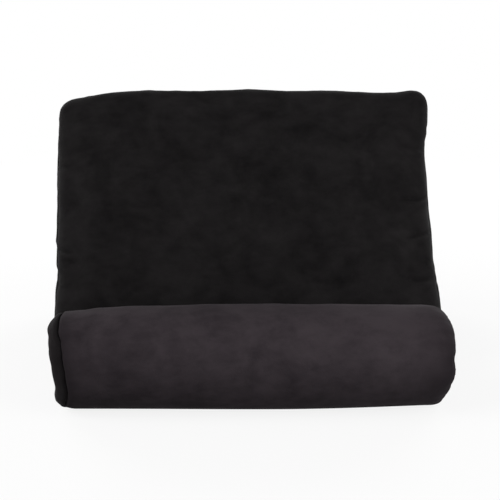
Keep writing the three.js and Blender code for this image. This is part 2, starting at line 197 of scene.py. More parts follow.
def makeLight():
    s = studioSettings
    finish = Finish("studio", world=True)
    seen = finish.sightOf(finish.node("ShaderNodeLightPath"))
    finish.set(Color=(1, 1, 1, 1), Strength=finish.span(seen, 0.0, 1.0, s["worldLight"], 1.0))
    scene.world = finish.made
    for name, lamp in s["lamps"].items():
        data = bpy.data.lights.new(name, "AREA")
        data.size = lamp["size"]
        data.energy = lamp["power"]
        made = bpy.data.objects.new(name, data)
        made.location = lamp["place"]
        aim = Vector(s["aim"]) - made.location
        made.rotation_euler = aim.to_track_quat("-Z", "Y").to_euler()
        scene.collection.objects.link(made)


def pieceFrom(bm, name, material=None, smooth=True):
    mesh = bpy.data.meshes.new(name)
    bm.to_mesh(mesh)
    bm.free()
    piece = bpy.data.objects.new(name, mesh)
    scene.collection.objects.link(piece)
    mesh.polygons.foreach_set("use_smooth", [smooth] * len(mesh.polygons))
    if material:
        mesh.materials.append(material)
    return piece


makeFloor()
makeLight()
print("camera, floor and light placed")


# microsuede: a short nap that lies in patches, darker along the seams and in folds, partly pressed nap and
# partly painted shade
suedeSettings = {
    # seam: the share by which the dark tone is lowered where seams and folds are darkened, as pressed nap and
    # painted shade
    "wedge": {"dark": (0.0062, 0.0057, 0.0059, 1), "light": (0.0150, 0.0138, 0.0142, 1), "seam": 0.18},
    "roll": {"dark": (0.0240, 0.0195, 0.0225, 1), "light": (0.0450, 0.0370, 0.0418, 1), "seam": 0.38,
             "paler": (1.3, 0.0, 4.0), "shift": -0.14},    # painted light and shade: the roll's tone is paler to the right and to the top, darker to the left and the bottom
    # the ends: a darker copy of the roll's tone, painted shade of ends turned from the light
    "cap": {"dark": (0.0106, 0.0092, 0.0099, 1), "light": (0.0198, 0.0171, 0.0181, 1), "seam": 0.25},
    "patch": 34.0,         # features in each metre
    "stroke": 150.0,
    "fibre": 1500.0,
    "pressed": 0.8,        # how far seams and folds are darkened: pressed nap and painted shade
    "rough": (0.98, 0.86),
    "gloss": 0.025,
    "sheen": 0.015,
    "sheenRough": 0.5,
    "bump": (0.35, 0.0006),
}


def suede(name, tone):
    s = suedeSettings
    finish = Finish(name)
    where = finish.coords()
    patches = finish.noise(where, s["patch"], 4.0, 0.6, 0.5)
    strokes = finish.noise(finish.mapped((0.6, 1.0, 1.0), (0.4, 0.3, 0.5)), s["stroke"], 3.0, 0.6)
    fibres = finish.noise(where, s["fibre"], 2.0, 0.7)
    nap = finish.span(patches, 0.3, 0.7) * 0.55 + finish.span(strokes, 0.3, 0.7) * 0.3 + fibres * 0.3
    napAndPaintedLight = nap
    # painted light: on the roll the tone rises to the right and upwards
    if "paler" in tone:
        sockets = {0: where, 1: tone["paler"]}
        napAndPaintedLight = nap + finish.node("ShaderNodeVectorMath", {"operation": "DOT_PRODUCT"}, sockets, out=1)
        napAndPaintedLight = napAndPaintedLight + tone["shift"]
    # painted shade: darker along seams, in folds and in one patch on the roll, partly pressed nap
    pressed = finish.node("ShaderNodeAttribute", {"attribute_name": "seamNear"}, out=2)
    cloth = finish.blendColour(finish.span(napAndPaintedLight, 0.2, 0.95), tone["dark"], tone["light"])
    deep = tuple(value * (1 - tone["seam"]) for value in tone["dark"][:3]) + (1,)
    finish.set(Base_Color=finish.blendColour(pressed * s["pressed"], cloth, deep))
    finish.set(Roughness=finish.span(nap, 0.0, 1.0, *s["rough"]))
    finish.set(Specular_IOR_Level=s["gloss"], Sheen_Weight=s["sheen"], Sheen_Roughness=s["sheenRough"])
    finish.set(Normal=finish.bump(fibres * 0.6 + strokes * 0.9, *s["bump"]))
    return finish.made


foamSettings = {"pale": (0.78, 0.72, 0.56, 1), "deep": (0.62, 0.55, 0.38, 1), "cell": 900.0, "age": 25.0}


def foam(name):
    s = foamSettings
    finish = Finish(name)
    cells = finish.node("ShaderNodeTexVoronoi", {}, {"Vector": finish.coords(), "Scale": s["cell"]})
    age = finish.noise(finish.coords(), s["age"], 3.0)
    finish.set(Base_Color=finish.blendColour(cells * 0.5 + age * 0.5, s["deep"], s["pale"]))
    finish.set(Roughness=0.95, Normal=finish.bump(cells, 0.5, 0.0004))
    return finish.made


foamCore = foam("foamCore")
wedgeSuede = suede("wedgeSuede", suedeSettings["wedge"])
rollSuede = suede("rollSuede", suedeSettings["roll"])
capSuede = suede("capSuede", suedeSettings["cap"])


# padded covers: blown up from a grid of quads, then cut along their seams
pressFrames = 20
pressSettings = {
    "quality": 7,
    "mass": 0.3,
    "tension_stiffness": 12.0,
    "compression_stiffness": 12.0,
    "shear_stiffness": 6.0,
    "bending_stiffness": 0.4,
    "use_pressure": True,
    "shrink_min": 0.0,
}


def swell(piece, settings, hold, shrinkGroup):
    start = [v.co.copy() for v in piece.data.vertices]
    outward = [v.normal.copy() for v in piece.data.vertices]
    press = piece.modifiers.new("press", "CLOTH")
    cloth = press.settings
    for key, value in pressSettings.items():
        setattr(cloth, key, value)
    cloth.uniform_pressure_force = settings["pressure"]
    cloth.effector_weights.gravity = 0
    press.collision_settings.use_collision = False
    press.point_cache.frame_start = 1
    press.point_cache.frame_end = pressFrames
    cloth.vertex_group_shrink = shrinkGroup
    cloth.shrink_max = settings["seamShrink"]
    for step in range(1, pressFrames + 1):
        scene.frame_set(step)
    graph = bpy.context.evaluated_depsgraph_get()
    blown = piece.evaluated_get(graph).to_mesh()
    moved, reaches = [], []
    for vertex, origin, normal in zip(blown.vertices, start, outward):
        move = vertex.co - origin
        reach = move.dot(normal)
        reaches.append(reach)
        share, cap = settings["out"] if reach > 0 else settings["in"]
        lift = cap * math.tanh(reach * share / cap)
        slide = (move - normal * reach) * settings["slide"]
        moved.append(origin + (normal * lift + slide) * hold(origin))
    piece.evaluated_get(graph).to_mesh_clear()
    piece.modifiers.remove(press)
    scene.frame_set(1)
    print(piece.name, "swelled, mm in and out:", [round(end(reaches) * 1000, 1) for end in (min, max)])
    return moved


def flatOf(point):
    # a point of the section, seen along x
    return Vector((point.y, point.z))


def smoothStep(value, low, high):
    share = min(max((value - low) / (high - low), 0.0), 1.0)
    return share * share * (3 - 2 * share)


def panelsBeside(edge):
    return {face.material_index for face in edge.link_faces}


def seamVerts(bm):
    return {vertex for edge in bm.edges for vertex in edge.verts if len(panelsBeside(edge)) > 1}


def divide(bm, edges, cells):
    bmesh.ops.subdivide_edges(bm, edges=edges, cuts=cells - 1, use_grid_fill=True)


def vertsOf(geom):
    return [item for item in geom if isinstance(item, bmesh.types.BMVert)]


def seamGroup(piece):
    bm = bmesh.new()
    bm.from_mesh(piece.data)
    seam = sorted(vertex.index for vertex in seamVerts(bm))
    bm.free()
    group = piece.vertex_groups.new(name="seam")
    group.add(seam, 1.0, "REPLACE")
    return group.name


def refined(piece, levels):
    finer = piece.modifiers.new("finer", "SUBSURF")
    finer.levels = levels
    finer.render_levels = levels
    graph = bpy.context.evaluated_depsgraph_get()
    bm = bmesh.new()
    bm.from_object(piece, graph)
    bpy.data.objects.remove(piece)
    return bm


pinchSettings = {
    "ring": (-1.0, 0.15),      # share of the seam's depth and of the pucker on the seam
    "beside": (0.02, 1.0),     # one row from it
    "beyond": (0.12, 0.5),     # two rows from it
    "turned": (-0.25, 0.0),    # round the zip's opening
    "ripples": ((130.0, 1.0), (260.0, 0.6)),    # ripples in each metre, share
    "floorFade": (-0.004, 0.012),
    "creaseShade": 0.0030,     # a fold this deep is painted in full shade
    "mostFold": 0.9,
    "mostShade": 1.2,
}


def neighbours(verts):
    return {edge.other_vert(vertex) for vertex in verts for edge in vertex.link_edges}


def pinchSeams(bm, depth, pucker):
    # seam lines are drawn in, and the cloth beside them puckers a little
    s = pinchSettings
    bm.normal_update()
    turned = {vertex for edge in bm.edges for vertex in edge.verts
              if len(panelsBeside(edge)) > 1 and zipHole in panelsBeside(edge)}
    ring = seamVerts(bm) - turned
    beside = neighbours(ring) - ring - turned
    beyond = neighbours(beside) - ring - turned - beside
    normals = {vertex: vertex.normal.copy() for vertex in ring | beside | beyond | turned}
    for group, name in ((ring, "ring"), (beside, "beside"), (beyond, "beyond"), (turned, "turned")):
        share, wave = s[name]
        for vertex in group:
            ripple = sum(part * noise.noise(vertex.co * count) for count, part in s["ripples"])
            move = depth * share * smoothStep(vertex.co.z, *s["floorFade"]) + pucker * wave * ripple
            vertex.co += normals[vertex] * move


def markSeams(bm, reach, folds):
    # for the finish: how near each point lies to a seam, 1 on it, and how deep in a fold; the finish darkens
    # both, partly as pressed nap and partly as painted shade
    s = pinchSettings
    layer = bm.verts.layers.float.new("seamNear")
    seam = seamVerts(bm)
    tree = kdtree.KDTree(len(seam))
    for index, vertex in enumerate(seam):
        tree.insert(vertex.co, index)
    tree.balance()
    for vertex, fold in zip(bm.verts, folds):
        near = math.exp(-(tree.find(vertex.co)[2] / reach[vertex.co.x > 0]) ** 1.5)
        shade = max(0.0, min(fold / s["creaseShade"], s["mostFold"]))
        vertex[layer] = min(near + shade, s["mostShade"])


def fillingOf(core, name, gap):
    core.normal_update()
    for vertex, normal in [(vertex, vertex.normal.copy()) for vertex in core.verts]:
        vertex.co -= normal * gap
    for face in core.faces:
        face.material_index = 0
    return pieceFrom(core, name, foamCore)


def thicken(piece, thickness, offset):
    wall = piece.modifiers.new("cloth", "SOLIDIFY")
    wall.thickness = thickness
    wall.offset = offset


def panelsOf(bm, names, thickness, materials):
    panels = []
    for index, (name, material) in enumerate(zip(names, materials)):
        part = bm.copy()
        others = [face for face in part.faces if face.material_index != index]
        bmesh.ops.delete(part, geom=others, context="FACES")
        for face in part.faces:
            face.material_index = 0
        panel = pieceFrom(part, name, material)
        thicken(panel, thickness, -1)
        panels.append(panel)
    return panels


# the wedge: a three-cornered block, rounded on every edge
wedgeSettings = {
    "halfWidth": 0.1473,
    "front": (-0.07184, 0.0),
    "rear": (0.14016, 0.0),
    "ridge": (0.05320, 0.2256),
    "edgeRadius": 0.0155,
    "seamInset": 0.0165,    # the front and the back wrap this far on to the sides
    "seamCells": 4,
    "zipUp": 0.0419,        # from the rear corner up the back to the middle of the zip
    "zipRow": 17,
    "zipSlant": 0.73,       # how the seam beside the zip rises round the edge
    "cells": 34,
    "cellsAcross": 58,
    "zipOpening": (0.111, 0.0047),    # half its length and half its width
    "faceCrown": 0.004,
    "backCrown": 0.006,
    "sideCrown": 0.0026,
    "sideCrownReach": 0.03,
    "pressure": 3.0,
    "seamShrink": 0.01,
    "out": (0.5, 0.0015),   # share kept of what the pressure moves, and the most it may move
    "in": (0.25, 0.0015),
    "slide": 0.1,
    "seamDepth": 0.0013,
    "pucker": 0.0005,
    "seamShade": (0.006, 0.006),    # how far the darkening reaches from a seam, left and right: pressed nap and painted shade
    "thickness": 0.0012,
    "fillingGap": 0.0035,
    "zipHold": (0.012, 0.045),      # cloth is held inside the first distance and free past the second
    "zipHoldEnds": (0.118, 0.14),
    "zipHoldDeep": 0.02,
    "footHold": (0.012, 0.05),
    "floorHold": (0.0, 0.03),
    "panels": ("front_cover", "back_cover", "base_cover", "left_side_cover", "right_side_cover"),
    "nodes": ("front_panel", "back_panel", "base_panel", "left_side_panel", "right_side_panel"),
}
zipHole = 5    # the panel number of the zip's opening, which has no cloth
wedgeCorners = [Vector(wedgeSettings[name]) for name in ("rear", "ridge", "front")]
backUp = (wedgeCorners[1] - wedgeCorners[0]).normalized()
backOut = Vector((backUp.y, -backUp.x))
faceUp = (wedgeCorners[1] - wedgeCorners[2]).normalized()
faceOut = Vector((-faceUp.y, faceUp.x))


def nearestInTriangle(point, corners):
    # closest point of a triangle in the plane, corners counted anticlockwise
    sides = list(zip(corners, corners[1:] + corners[:1]))
    if all((b - a).cross(point - a) >= 0 for a, b in sides):
        return point.copy()
    feet = []
    for a, b in sides:
        share = (point - a).dot(b - a) / (b - a).length_squared
        feet.append(a + (b - a) * min(max(share, 0.0), 1.0))
    return min(feet, key=lambda foot: (point - foot).length)


def insetTriangle(corners, inset):
    # corners of the triangle whose sides lie that far inside
    made = []
    for i in range(3):
        one = (corners[i - 1] - corners[i]).normalized()
        two = (corners[(i + 1) % 3] - corners[i]).normalized()
        half = one.angle(two) / 2
        made.append(corners[i] + (one + two).normalized() * (inset / math.sin(half)))
    return made


def sidesOff(point):
    # how far inside the back, the face and the base a point of the section lies
    rear, ridge, front = wedgeCorners
    return (rear - point).dot(backOut), (front - point).dot(faceOut), point.y


def wedgeBlock():
    s = wedgeSettings
    half = s["halfWidth"]
    rear, ridge, front = wedgeCorners
    backMiddle = rear + backUp * (s["zipUp"] * s["cells"] / s["zipRow"])
    points = [front, (front + ridge) / 2, ridge, backMiddle, rear, (front + rear) / 2,
              (front + rear + ridge) / 3]
    bm = bmesh.new()
    verts = [bm.verts.new((-half, point.x, point.y)) for point in points]
    inner = [bm.faces.new([verts[i] for i in loop]) for loop in ((0, 1, 6, 5), (2, 3, 6, 1), (4, 5, 6, 3))]
    bm.normal_update()
    rim = bmesh.ops.inset_region(bm, faces=inner, thickness=s["seamInset"], use_boundary=True,
                                 use_even_offset=True)
    for face in rim["faces"]:
        face.material_index = 1
    others = [edge for edge in bm.edges if not isInward(edge)]
    divide(bm, others, s["cells"])
    inward = [edge for edge in bm.edges if isInward(edge)]
    divide(bm, inward, s["seamCells"])
    made = bmesh.ops.extrude_face_region(bm, geom=bm.faces[:], use_keep_orig=True)
    bmesh.ops.translate(bm, verts=vertsOf(made["geom"]), vec=(2 * half, 0, 0))
    across = [edge for edge in bm.edges if widthOf(edge) > half]
    divide(bm, across, s["cellsAcross"])
    bmesh.ops.recalc_face_normals(bm, faces=bm.faces)
    for face in bm.faces:
        face.material_index = panelAt(face)
    return bm


def widthOf(edge):
    return abs(edge.verts[0].co.x - edge.verts[1].co.x)


def isInward(edge):
    return len(edge.link_faces) == 2 and all(face.material_index == 1 for face in edge.link_faces)


def panelAt(face):
    # 0 front, 1 back, 2 base, 3 left side, 4 right side, or the zip's opening
    s = wedgeSettings
    middle = face.calc_center_median()
    flat = flatOf(middle)
    back, front, base = sidesOff(flat)
    if abs(face.normal.x) > 0.9 and min(back, front, base) > s["seamInset"]:
        return 3 if middle.x < 0 else 4
    if front < min(back, base):
        return 0
    aboveZip = (flat - wedgeCorners[0]).dot(backUp) - s["zipUp"]
    if back < 0.001 and abs(middle.x) < s["zipOpening"][0] and abs(aboveZip) < s["zipOpening"][1]:
        return zipHole
    return 1 if back < base and aboveZip > s["zipSlant"] * back else 2


def hump(share):
    return max(0.0, 1 - (2 * share - 1) ** 2) ** 0.8


def wedgeCrown(vertex):
    # how far a point of the flat block is lifted to make the panels full
    s = wedgeSettings
    rear, ridge, front = wedgeCorners
    flat = flatOf(vertex.co)
    panels = {face.material_index for face in vertex.link_faces}
    spread = max(0.0, 1 - (vertex.co.x / s["halfWidth"]) ** 2) ** 0.7
    if panels == {0}:
        lift = s["faceCrown"] * hump((flat - front).dot(faceUp) / (ridge - front).length) * spread
        return Vector((0, *faceOut)) * lift
    if panels == {1}:
        above = (flat - rear).dot(backUp) - s["zipUp"]
        lift = s["backCrown"] * hump(above / ((ridge - rear).length - s["zipUp"])) * spread
        return Vector((0, *backOut)) * lift
    if panels in ({3}, {4}):
        depths = [max(0.0, depth - s["seamInset"]) for depth in sidesOff(flat)]
        fullness = (depths[0] * depths[1] * depths[2]) ** (1 / 3)
        lift = s["sideCrown"] * math.tanh((fullness / s["sideCrownReach"]) ** 2)
        return Vector((math.copysign(lift, vertex.co.x), 0, 0))
    return Vector()


def roundOff(bm, corners, half, radius):
    inner = insetTriangle(corners, radius)
    for vertex in bm.verts:
        flat = nearestInTriangle(flatOf(vertex.co), inner)
        core = Vector((min(max(vertex.co.x, radius - half), half - radius), flat.x, flat.y))
        vertex.co = core + (vertex.co - core).normalized() * radius


def makeWedge():
    s = wedgeSettings
    bm = wedgeBlock()
    crown = {vertex: wedgeCrown(vertex) for vertex in bm.verts}
    roundOff(bm, wedgeCorners, s["halfWidth"], s["edgeRadius"])
    for vertex in bm.verts:
        vertex.co += crown[vertex]
    return bm


def wedgeHold(point):
    # cloth stays put along the zip, at the foot of the face and on the ground
    s = wedgeSettings
    flat = flatOf(point)
    above = (flat - wedgeCorners[0]).dot(backUp) - s["zipUp"]
    behind = abs((flat - wedgeCorners[0]).dot(backOut))
    zipHold = smoothStep(abs(above), *s["zipHold"]) if behind < s["zipHoldDeep"] else 1.0
    zipHold = max(zipHold, smoothStep(abs(point.x), *s["zipHoldEnds"]))
    foot = smoothStep((flat - rollTouch).length, *s["footHold"])
    return zipHold * foot * smoothStep(point.z, *s["floorHold"])


def nudge(point, nudges):
    # soft moves: each has a middle, a reach in x, y and z, and a move
    total = Vector()
    for middle, reach, move in nudges:
        off = [(point[i] - middle[i]) / reach[i] for i in range(3)]
        total += Vector(move) * math.exp(-sum(share * share for share in off))
    return total


def between(pairs, value):
    # smooth steps through a few (place, amount) pairs
    for (low, first), (high, second) in zip(pairs, pairs[1:]):
        if value <= high:
            return first + (second - first) * smoothStep(value, low, high)
    return pairs[-1][1]


# how the sewn wedge differs from its pattern, in metres
wedgeHand = {
    "leftEdge": ((0.03, 0.0010), (0.057, 0.0008), (0.063, 0.0018), (0.072, 0.0021), (0.0755, 0.0011),
                 (0.0865, 0.0010), (0.0915, 0.0001), (0.097, 0.0003), (0.1135, 0.0002), (0.1255, -0.0003),
                 (0.1345, -0.0009), (0.148, -0.0013), (0.160, -0.0015), (0.1685, -0.0022), (0.1855, -0.0024),
                 (0.1885, -0.0029), (0.20, -0.0041)),
    "rightEdge": ((0.03, 0.0006), (0.05, 0.0003), (0.0555, -0.0003), (0.062, -0.0016), (0.070, -0.0023),
                  (0.0785, -0.0033), (0.095, -0.0033), (0.112, -0.0043), (0.137, -0.0038), (0.154, -0.0041),
                  (0.163, -0.0034), (0.1715, -0.0014), (0.1805, -0.0004), (0.195, -0.0004)),
    "edgeReach": (0.095, 0.138),    # the two lists shift x at a height, in full past the second distance
    "nudges": (
        ((-0.142, 0.045, 0.200), (0.0225, 0.060, 0.050), (0, 0, -0.0067)),    # left shoulder slopes
        ((-0.125, 0.045, 0.200), (0.040, 0.060, 0.050), (0, 0, -0.0006)),
        ((0.105, 0.045, 0.200), (0.030, 0.060, 0.050), (0, 0, -0.0016)),      # dip before the right corner
        ((0.144, 0.038, 0.197), (0.012, 0.040, 0.014), (0.0020, 0, 0.0016)),  # full right corner
        ((-0.020, 0.045, 0.200), (0.060, 0.060, 0.050), (0, 0, 0.0006)),      # the ridge's middle stands up
        ((-0.131, -0.027, 0.083), (0.005, 0.010, 0.005), (0, 0.0022, -0.0012)),    # dimple by the left seam
    ),
    "faceCreases": (    # start and end as x and height, depth
        ((-0.152, 0.0900), (-0.132, 0.0890), 0.0032),
        ((-0.150, 0.0655), (-0.136, 0.0645), 0.0014),
        ((-0.150, 0.1480), (-0.130, 0.1520), 0.0010),
        ((-0.139, 0.0838), (-0.130, 0.0826), 0.0020),
        ((0.122, 0.1250), (0.147, 0.1236), 0.0031),
        ((0.124, 0.0988), (0.147, 0.0998), 0.0027),
        ((0.126, 0.0692), (0.149, 0.0687), 0.0031),
        ((0.120, 0.1640), (0.146, 0.1600), 0.0015),
    ),
    "backCreases": (
        ((-0.150, 0.1300), (-0.122, 0.1340), 0.0009),
        ((-0.150, 0.0920), (-0.128, 0.0890), 0.0008),
        ((-0.150, 0.0660), (-0.132, 0.0680), 0.0007),
        ((0.118, 0.1180), (0.149, 0.1140), 0.0010),
        ((0.128, 0.0830), (0.150, 0.0850), 0.0008),
        ((0.122, 0.1560), (0.148, 0.1520), 0.0007),
    ),
    "creaseWidth": 0.0018,
    "waves": ((24.0, 0.0007), (75.0, 0.00022)),    # slackness of the cloth: waves in each metre, height
    "backSlack": 0.9,    # how much slacker the back is
}


def creaseDepth(point, creases, width):
    # narrow valleys with a low lip on each side
    depth = 0.0
    flat = Vector((point.x, point.z))
    for start, end, deep in creases:
        first, along = Vector(start), Vector(end) - Vector(start)
        share = (flat - first).dot(along) / along.length_squared
        if -0.2 < share < 1.2:
            off = (flat - first).cross(along) / along.length / width
            off += 0.5 * noise.noise(Vector((share * 2.3, start[1] * 400, 0.2)))
            fade = smoothStep(share, -0.2, 0.2) * smoothStep(1.2 - share, 0.0, 0.5)
            depth += deep * fade * (math.exp(-off * off) - 0.35 * math.exp(-(off / 2.4) ** 2))
    return depth


def waviness(point, waves):
    return sum(height * noise.noise(point * count + Vector((0.37, 1.9, 4.1))) for count, height in waves)


def turnedTo(out, normal):
    return smoothStep(normal.y * out.x + normal.z * out.y, 0.1, 0.6)


def wedgeCreases(point, normal):
    s = wedgeHand
    face = turnedTo(faceOut, normal) * creaseDepth(point, s["faceCreases"], s["creaseWidth"])
    return face + turnedTo(backOut, normal) * creaseDepth(point, s["backCreases"], s["creaseWidth"])


def wedgeShape(point, normal):
    s = wedgeHand
    pairs = s["leftEdge"] if point.x < 0 else s["rightEdge"]
    shift = between(pairs, point.z) * smoothStep(abs(point.x), *s["edgeReach"])
    slack = 1 + s["backSlack"] * turnedTo(backOut, normal)
    lift = waviness(point, s["waves"]) * slack * wedgeHold(point) - wedgeCreases(point, normal)
    return point + Vector((shift, 0, 0)) + nudge(point, s["nudges"]) + normal * lift


def coverFrom(form, settings, hold, shape, creases, materials, fillingName):
    places = swell(form, settings, hold, seamGroup(form))
    for vertex, place in zip(form.data.vertices, places):
        vertex.co = place
    skin = refined(form, 1)
    core = skin.copy()
    pinchSeams(skin, settings["seamDepth"], settings["pucker"])
    skin.normal_update()
    # fold depths, which the finish paints dark as shade
    folds = [creases(vertex.co, vertex.normal) for vertex in skin.verts]
    for made in (skin, core):
        made.normal_update()
        normals = [vertex.normal.copy() for vertex in made.verts]
        for vertex, normal in zip(made.verts, normals):
            vertex.co = shape(vertex.co, normal)
            vertex.co.z = max(vertex.co.z, 0.0)
    filling = fillingOf(core, fillingName, settings["fillingGap"])
    markSeams(skin, settings["seamShade"], folds)
    panels = panelsOf(skin, settings["panels"], settings["thickness"], materials)
    return filling, panels


# the roll: a fat tube with domed ends
rollSettings = {
    "axis": (-0.09647, 0.0345),
    "radius": 0.0345,
    "leftEnd": -0.1300,
    "rightEnd": 0.1350,
    "edgeRadius": (0.009, 0.014),
    "seamRings": (0, 3),    # rings of each end that the sleeve still covers
    "capRows": (2, 0),      # rows of the sleeve that each end covers
    "cells": 20,
    "cellsAlong": 76,
    "endCrown": (0.0060, 0.0020),
    "barrel": 0.0010,
    "pressure": 3.0,
    "seamShrink": 0.01,
    "out": (0.5, 0.0012),
    "in": (0.3, 0.0015),
    "slide": 0.1,
    "seamDepth": 0.0012,
    "pucker": 0.0006,
    "seamShade": (0.008, 0.018),
    "thickness": 0.0012,
    "fillingGap": 0.0035,
    "footHold": (0.008, 0.035),
    "floorHold": (0.0, 0.02),
    "panels": ("roll_cover", "roll_left_cover", "roll_right_cover"),
    "nodes": ("roll_sleeve", "roll_left_end", "roll_right_end"),
}
rollTouch = Vector((-0.0654, 0.0168))    # where the roll lies against the face


def discOf(u, v):
    # square rings become circles
    if abs(u) < 1e-9 and abs(v) < 1e-9:
        return Vector((0, 0))
    if abs(u) >= abs(v):
        turn = math.pi / 4 * v / u
        return Vector((math.cos(turn), math.sin(turn))) * u
    turn = math.pi / 2 - math.pi / 4 * u / v
    return Vector((math.cos(turn), math.sin(turn))) * v


def makeRoll():
    s = rollSettings
    radius = s["radius"]
    bm = bmesh.new()
    bmesh.ops.create_cube(bm, size=2.0)
    others = [edge for edge in bm.edges if widthOf(edge) < 1]
    divide(bm, others, s["cells"])
    along = [edge for edge in bm.edges if widthOf(edge) > 1]
    divide(bm, along, s["cellsAlong"])
    bmesh.ops.recalc_face_normals(bm, faces=bm.faces)
    for face in bm.faces:
        middle = face.calc_center_median()
        side = 0 if middle.x < 0 else 1
        ring = (1 - max(abs(middle.y), abs(middle.z))) * s["cells"] / 2
        row = (1 - abs(middle.x)) * s["cellsAlong"] / 2
        isEnd = ring > s["seamRings"][side] if abs(face.normal.x) > 0.9 else row < s["capRows"][side]
        face.material_index = 1 + side if isEnd else 0
    for vertex in bm.verts:
        side = 0 if vertex.co.x < 0 else 1
        edge = s["edgeRadius"][side]
        share = (vertex.co.x + 1) / 2
        outer = discOf(vertex.co.y, vertex.co.z) * radius
        place = s["leftEnd"] + (s["rightEnd"] - s["leftEnd"]) * share
        core = outer.normalized() * min(outer.length, radius - edge) if outer.length > 0 else outer
        coreX = min(max(place, s["leftEnd"] + edge), s["rightEnd"] - edge)
        off = Vector((place - coreX, outer.x - core.x, outer.y - core.y)).normalized() * edge
        dome = 0.0
        if abs(vertex.co.x) > 0.999:
            dome = math.copysign(s["endCrown"][side] * (1 - outer.length_squared / radius ** 2), vertex.co.x)
        belly = 1 + s["barrel"] / radius * (1 - vertex.co.x ** 2)
        vertex.co = (coreX + off.x + dome, (core.x + off.y) * belly, (core.y + off.z) * belly)
    bmesh.ops.translate(bm, verts=bm.verts, vec=(0, s["axis"][0], s["axis"][1]))
    return bm


def rollHold(point):
    s = rollSettings
    foot = smoothStep((flatOf(point) - rollTouch).length, *s["footHold"])
    return foot * smoothStep(point.z, *s["floorHold"])


# how the sewn roll differs from its pattern, in metres
rollHand = {
    "leftEnd": ((0.0, -0.0030), (0.004, -0.0029), (0.008, -0.0022), (0.012, -0.0010), (0.017, 0.0008),
                (0.022, 0.0015), (0.0345, 0.0008), (0.048, -0.0009), (0.056, -0.0023), (0.063, -0.0056),
                (0.070, -0.0072)),    # shifts in x at a height
    "rightEnd": ((0.0, 0.0006), (0.004, 0.0005), (0.008, -0.0010), (0.013, -0.0018), (0.020, -0.0012),
                 (0.030, -0.0008), (0.036, -0.0010), (0.045, 0.0), (0.060, 0.0006), (0.070, 0.0014)),
    "endReach": (0.095, 0.13),
    "bow": (0.040, 0.085, 0.0036),    # the front is fullest here: middle, reach and how far
    "topDrop": ((-0.135, 0.0043), (-0.1205, 0.0036), (-0.113, 0.0027), (-0.1025, 0.0012), (-0.080, 0.0002),
                (0.0, 0.0003), (0.060, 0.0006), (0.110, 0.0009), (0.135, 0.0009)),    # lower top along x
    "gathers": ((-168, 0.5, 9), (-138, 0.35, 8), (-112, 0.45, 9), (-80, 0.3, 8), (-52, 0.2, 8),
                (-28, 0.15, 7), (15, 0.45, 14), (48, 0.4, 6), (65, 0.3, 6), (84, 0.5, 8), (109, 0.7, 8),
                (131, 0.5, 8), (155, 0.6, 8)),    # turn in degrees, share of the depth, width in degrees
    "gatherDepth": 0.0026,
    "gatherFill": 0.25,       # the share of that depth by which the cloth between the folds stands up
    "gatherAlong": (0.116, 0.133),
    "gatherRound": (0.010, 0.030),
    "pressedNap": ((0.132, 0.021), (-14, 17), 0.0020),    # painted shade where the right end turns down: along x, in degrees round, its depth
    "waves": ((30.0, 0.0006), (90.0, 0.0002)),
}


def offAxis(point):
    return point.y - rollSettings["axis"][0], point.z - rollSettings["axis"][1]


def rollTurn(point):
    # degrees round the roll, 0 at the front
    back, up = offAxis(point)
    return math.degrees(math.atan2(up, -back))


def gatherNear(point):
    s = rollHand
    return smoothStep(point.x, *s["gatherAlong"]) * smoothStep(math.hypot(*offAxis(point)), *s["gatherRound"])


def rollGathers(point):
    # depth of the folds round the right end
    s = rollHand
    turn = rollTurn(point)
    fold = -0.3 * noise.noise(Vector((turn / 9, 1.3, 5.1)))
    for middle, share, width in s["gathers"]:
        off = abs((turn - middle + 180) % 360 - 180) / width
        fold += share * math.exp(-off ** 1.5)
    return s["gatherDepth"] * fold * gatherNear(point)


def rollCreases(point, normal):
    # what the finish darkens on the roll as painted shade: its folds, and a patch low on the right end
    (along, reach), (middle, width), depth = rollHand["pressedNap"]
    off = ((point.x - along) / reach) ** 2 + ((rollTurn(point) - middle) / width) ** 2
    return rollGathers(point) + depth * math.exp(-off)


def rollShape(point, normal):
    s = rollHand
    radius = rollSettings["radius"]
    back, up = offAxis(point)
    lean = smoothStep(-point.x, *s["endReach"]) * between(s["leftEnd"], point.z)
    lean += smoothStep(point.x, *s["endReach"]) * between(s["rightEnd"], point.z)
    fullest, reach, far = s["bow"]
    bow = far * math.exp(-((point.x - fullest) / reach) ** 2)
    bow *= smoothStep(-back, -0.5 * radius, 0.5 * radius)
    lift = s["gatherFill"] * s["gatherDepth"] * gatherNear(point) - rollGathers(point)
    lift += waviness(point, s["waves"]) * rollHold(point)
    drop = between(s["topDrop"], point.x) * smoothStep(up, 0.0, radius)
    return point + normal * lift + Vector((lean, -bow, -drop))


wedgeFilling, wedgePanels = coverFrom(
    pieceFrom(makeWedge(), "wedgeForm"), wedgeSettings, wedgeHold, wedgeShape, wedgeCreases, [wedgeSuede] * 5,
    "wedge_filling")
print("wedge cover made")
rollFilling, rollPanels = coverFrom(
    pieceFrom(makeRoll(), "rollForm"), rollSettings, rollHold, rollShape, rollCreases,
    (rollSuede, capSuede, capSuede), "roll_filling")
print("roll cover made")

# the cover panels and fillings take the place of the model's parts, on the cushion's body
for panels, settings, cloth, under in (
        (wedgePanels, wedgeSettings, "wedge_cloth", "wedge_filling"),
        (rollPanels, rollSettings, "roll_cloth", "roll_filling")):
    for panel, node in zip(panels, settings["nodes"]):
        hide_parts(node)
        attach(panel, "cushion")
for filling, node in ((wedgeFilling, "wedge_foam"), (rollFilling, "roll_foam")):
    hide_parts(node)
    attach(filling, "cushion")


